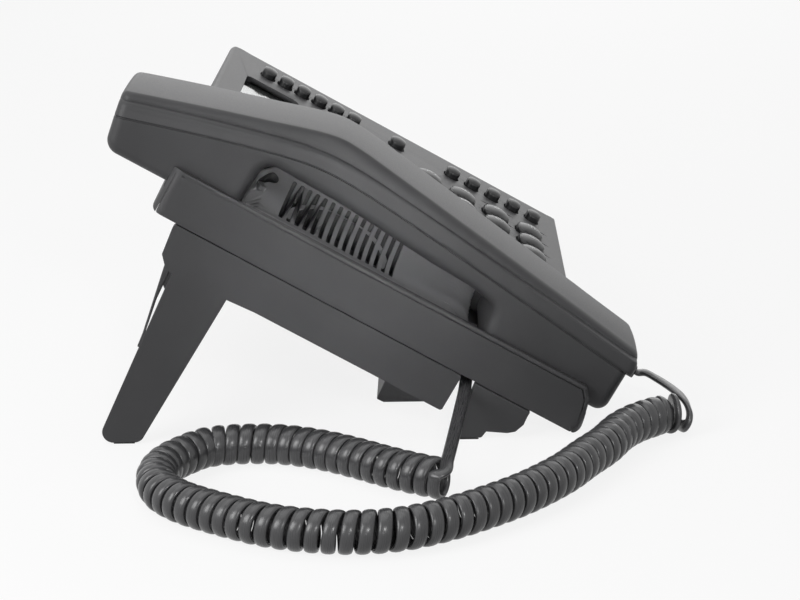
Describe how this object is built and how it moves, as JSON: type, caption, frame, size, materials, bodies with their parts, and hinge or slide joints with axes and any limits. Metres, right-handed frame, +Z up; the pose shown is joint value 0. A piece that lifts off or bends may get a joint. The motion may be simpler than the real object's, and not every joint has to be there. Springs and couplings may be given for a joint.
{
  "type": "desk ip phone",
  "caption": "Desk IP phone on a wedge stand, with a handset in its side cradle, a display and key panel, a speaker grille and a curly handset cord.",
  "frame": {"origin": "on the desk, under the middle of the phone without its cord", "axes": "+X to the user's right, +Y to the back, +Z up"},
  "size_m": [0.3009, 0.2197, 0.1292],
  "materials": {
    "charcoal_shell": "fine matte moulded plastic",
    "rubber": "matte rubber",
    "steel": "plated steel",
    "circuit_board": "green solder mask",
    "key_mat_rubber": "silicone rubber",
    "display_lens": "clear smoked lens",
    "display_panel": "grey-green display",
    "speaker_parts": "black cone and frame",
    "socket_plastic": "black socket plastic",
    "key_plastic": "semi-gloss keys",
    "weight_steel": "raw steel",
    "cord_jacket": "black flexible jacket",
    "plug_plastic": "smoked clear plug"
  },
  "bodies": {
    "base": {"top_housing": "charcoal_shell", "bottom_housing": "charcoal_shell", "stand": "charcoal_shell", "rubber_feet": "rubber", "housing_screws": "steel", "main_board": "circuit_board", "key_mat": "key_mat_rubber", "display_window": "display_lens", "display_module": "display_panel", "loudspeaker": "speaker_parts", "base_microphone": "speaker_parts", "hook_switch": "socket_plastic", "network_sockets": "socket_plastic", "power_socket": "socket_plastic", "handset_jack": "socket_plastic", "headset_jack": "socket_plastic", "retainer_tab": "charcoal_shell", "cord_handset_end": "cord_jacket", "cord_coil": "cord_jacket", "cord_base_end": "cord_jacket", "cord_base_plug": "plug_plastic"},
    "handset": {"handset_upper_shell": "charcoal_shell", "handset_lower_shell": "charcoal_shell", "ear_capsule": "speaker_parts", "mic_capsule": "speaker_parts", "handset_weight": "weight_steel", "handset_screws": "steel", "handset_socket": "socket_plastic", "cord_handset_plug": "plug_plastic"},
    "hook_plunger": {"hook_plunger": "key_plastic"},
    "nav_rocker": {"nav_rocker": "key_plastic"},
    "volume_rocker": {"volume_rocker": "key_plastic"},
    "key_1": {"key_1": "key_plastic"},
    "key_2": {"key_2": "key_plastic"},
    "key_3": {"key_3": "key_plastic"},
    "key_4": {"key_4": "key_plastic"},
    "key_5": {"key_5": "key_plastic"},
    "key_6": {"key_6": "key_plastic"},
    "key_7": {"key_7": "key_plastic"},
    "key_8": {"key_8": "key_plastic"},
    "key_9": {"key_9": "key_plastic"},
    "key_star": {"key_star": "key_plastic"},
    "key_0": {"key_0": "key_plastic"},
    "key_hash": {"key_hash": "key_plastic"},
    "line_key_1": {"line_key_1": "key_plastic"},
    "line_key_2": {"line_key_2": "key_plastic"},
    "line_key_3": {"line_key_3": "key_plastic"},
    "line_key_4": {"line_key_4": "key_plastic"},
    "line_key_5": {"line_key_5": "key_plastic"},
    "line_key_6": {"line_key_6": "key_plastic"},
    "feature_key_1": {"feature_key_1": "key_plastic"},
    "feature_key_2": {"feature_key_2": "key_plastic"},
    "feature_key_3": {"feature_key_3": "key_plastic"},
    "feature_key_4": {"feature_key_4": "key_plastic"},
    "feature_key_5": {"feature_key_5": "key_plastic"},
    "soft_key_1": {"soft_key_1": "key_plastic"},
    "soft_key_2": {"soft_key_2": "key_plastic"},
    "soft_key_3": {"soft_key_3": "key_plastic"},
    "message_key": {"message_key": "key_plastic"}
  },
  "joints": [
    {"name": "handset_lift", "type": "slide", "parent": "base", "child": "handset", "axis": [0, -0.5, 0.866], "range_m": [0, 0.07]},
    {"name": "hook_travel", "type": "slide", "parent": "base", "child": "hook_plunger", "axis": [0, -0.5, 0.866], "range_m": [0, 0.0035]},
    {"name": "key_1_press", "type": "slide", "parent": "base", "child": "key_1", "axis": [0, 0.5, -0.866], "range_m": [0, 0.0014], "stiffness_N_per_m": 500, "springref_m": -0.0006},
    {"name": "key_2_press", "type": "slide", "parent": "base", "child": "key_2", "axis": [0, 0.5, -0.866], "range_m": [0, 0.0014], "stiffness_N_per_m": 500, "springref_m": -0.0006},
    {"name": "key_3_press", "type": "slide", "parent": "base", "child": "key_3", "axis": [0, 0.5, -0.866], "range_m": [0, 0.0014], "stiffness_N_per_m": 500, "springref_m": -0.0006},
    {"name": "key_4_press", "type": "slide", "parent": "base", "child": "key_4", "axis": [0, 0.5, -0.866], "range_m": [0, 0.0014], "stiffness_N_per_m": 500, "springref_m": -0.0006},
    {"name": "key_5_press", "type": "slide", "parent": "base", "child": "key_5", "axis": [0, 0.5, -0.866], "range_m": [0, 0.0014], "stiffness_N_per_m": 500, "springref_m": -0.0006},
    {"name": "key_6_press", "type": "slide", "parent": "base", "child": "key_6", "axis": [0, 0.5, -0.866], "range_m": [0, 0.0014], "stiffness_N_per_m": 500, "springref_m": -0.0006},
    {"name": "key_7_press", "type": "slide", "parent": "base", "child": "key_7", "axis": [0, 0.5, -0.866], "range_m": [0, 0.0014], "stiffness_N_per_m": 500, "springref_m": -0.0006},
    {"name": "key_8_press", "type": "slide", "parent": "base", "child": "key_8", "axis": [0, 0.5, -0.866], "range_m": [0, 0.0014], "stiffness_N_per_m": 500, "springref_m": -0.0006},
    {"name": "key_9_press", "type": "slide", "parent": "base", "child": "key_9", "axis": [0, 0.5, -0.866], "range_m": [0, 0.0014], "stiffness_N_per_m": 500, "springref_m": -0.0006},
    {"name": "key_star_press", "type": "slide", "parent": "base", "child": "key_star", "axis": [0, 0.5, -0.866], "range_m": [0, 0.0014], "stiffness_N_per_m": 500, "springref_m": -0.0006},
    {"name": "key_0_press", "type": "slide", "parent": "base", "child": "key_0", "axis": [0, 0.5, -0.866], "range_m": [0, 0.0014], "stiffness_N_per_m": 500, "springref_m": -0.0006},
    {"name": "key_hash_press", "type": "slide", "parent": "base", "child": "key_hash", "axis": [0, 0.5, -0.866], "range_m": [0, 0.0014], "stiffness_N_per_m": 500, "springref_m": -0.0006},
    {"name": "line_key_1_press", "type": "slide", "parent": "base", "child": "line_key_1", "axis": [0, 0.5, -0.866], "range_m": [0, 0.0014], "stiffness_N_per_m": 500, "springref_m": -0.0006},
    {"name": "line_key_2_press", "type": "slide", "parent": "base", "child": "line_key_2", "axis": [0, 0.5, -0.866], "range_m": [0, 0.0014], "stiffness_N_per_m": 500, "springref_m": -0.0006},
    {"name": "line_key_3_press", "type": "slide", "parent": "base", "child": "line_key_3", "axis": [0, 0.5, -0.866], "range_m": [0, 0.0014], "stiffness_N_per_m": 500, "springref_m": -0.0006},
    {"name": "line_key_4_press", "type": "slide", "parent": "base", "child": "line_key_4", "axis": [0, 0.5, -0.866], "range_m": [0, 0.0014], "stiffness_N_per_m": 500, "springref_m": -0.0006},
    {"name": "line_key_5_press", "type": "slide", "parent": "base", "child": "line_key_5", "axis": [0, 0.5, -0.866], "range_m": [0, 0.0014], "stiffness_N_per_m": 500, "springref_m": -0.0006},
    {"name": "line_key_6_press", "type": "slide", "parent": "base", "child": "line_key_6", "axis": [0, 0.5, -0.866], "range_m": [0, 0.0014], "stiffness_N_per_m": 500, "springref_m": -0.0006},
    {"name": "feature_key_1_press", "type": "slide", "parent": "base", "child": "feature_key_1", "axis": [0, 0.5, -0.866], "range_m": [0, 0.0014], "stiffness_N_per_m": 500, "springref_m": -0.0006},
    {"name": "feature_key_2_press", "type": "slide", "parent": "base", "child": "feature_key_2", "axis": [0, 0.5, -0.866], "range_m": [0, 0.0014], "stiffness_N_per_m": 500, "springref_m": -0.0006},
    {"name": "feature_key_3_press", "type": "slide", "parent": "base", "child": "feature_key_3", "axis": [0, 0.5, -0.866], "range_m": [0, 0.0014], "stiffness_N_per_m": 500, "springref_m": -0.0006},
    {"name": "feature_key_4_press", "type": "slide", "parent": "base", "child": "feature_key_4", "axis": [0, 0.5, -0.866], "range_m": [0, 0.0014], "stiffness_N_per_m": 500, "springref_m": -0.0006},
    {"name": "feature_key_5_press", "type": "slide", "parent": "base", "child": "feature_key_5", "axis": [0, 0.5, -0.866], "range_m": [0, 0.0014], "stiffness_N_per_m": 500, "springref_m": -0.0006},
    {"name": "soft_key_1_press", "type": "slide", "parent": "base", "child": "soft_key_1", "axis": [0, 0.5, -0.866], "range_m": [0, 0.0014], "stiffness_N_per_m": 500, "springref_m": -0.0006},
    {"name": "soft_key_2_press", "type": "slide", "parent": "base", "child": "soft_key_2", "axis": [0, 0.5, -0.866], "range_m": [0, 0.0014], "stiffness_N_per_m": 500, "springref_m": -0.0006},
    {"name": "soft_key_3_press", "type": "slide", "parent": "base", "child": "soft_key_3", "axis": [0, 0.5, -0.866], "range_m": [0, 0.0014], "stiffness_N_per_m": 500, "springref_m": -0.0006},
    {"name": "message_key_press", "type": "slide", "parent": "base", "child": "message_key", "axis": [0, 0.5, -0.866], "range_m": [0, 0.0014], "stiffness_N_per_m": 500, "springref_m": -0.0006},
    {"name": "nav_rock", "type": "hinge", "parent": "base", "child": "nav_rocker", "pos_m": [0.02365, 0.0089, 0.07625], "axis": [1, 0, 0], "range_deg": [-2.5, 2.5], "stiffness_Nm_per_rad": 0.05},
    {"name": "volume_rock", "type": "hinge", "parent": "base", "child": "volume_rocker", "pos_m": [0.02365, -0.00495, 0.06825], "axis": [0, 0.866, 0.5], "range_deg": [-2.5, 2.5], "stiffness_Nm_per_rad": 0.05}
  ],
  "couplings": [
    {"joint": "hook_travel", "follows": "handset_lift", "ratio": 0.05}
  ]
}
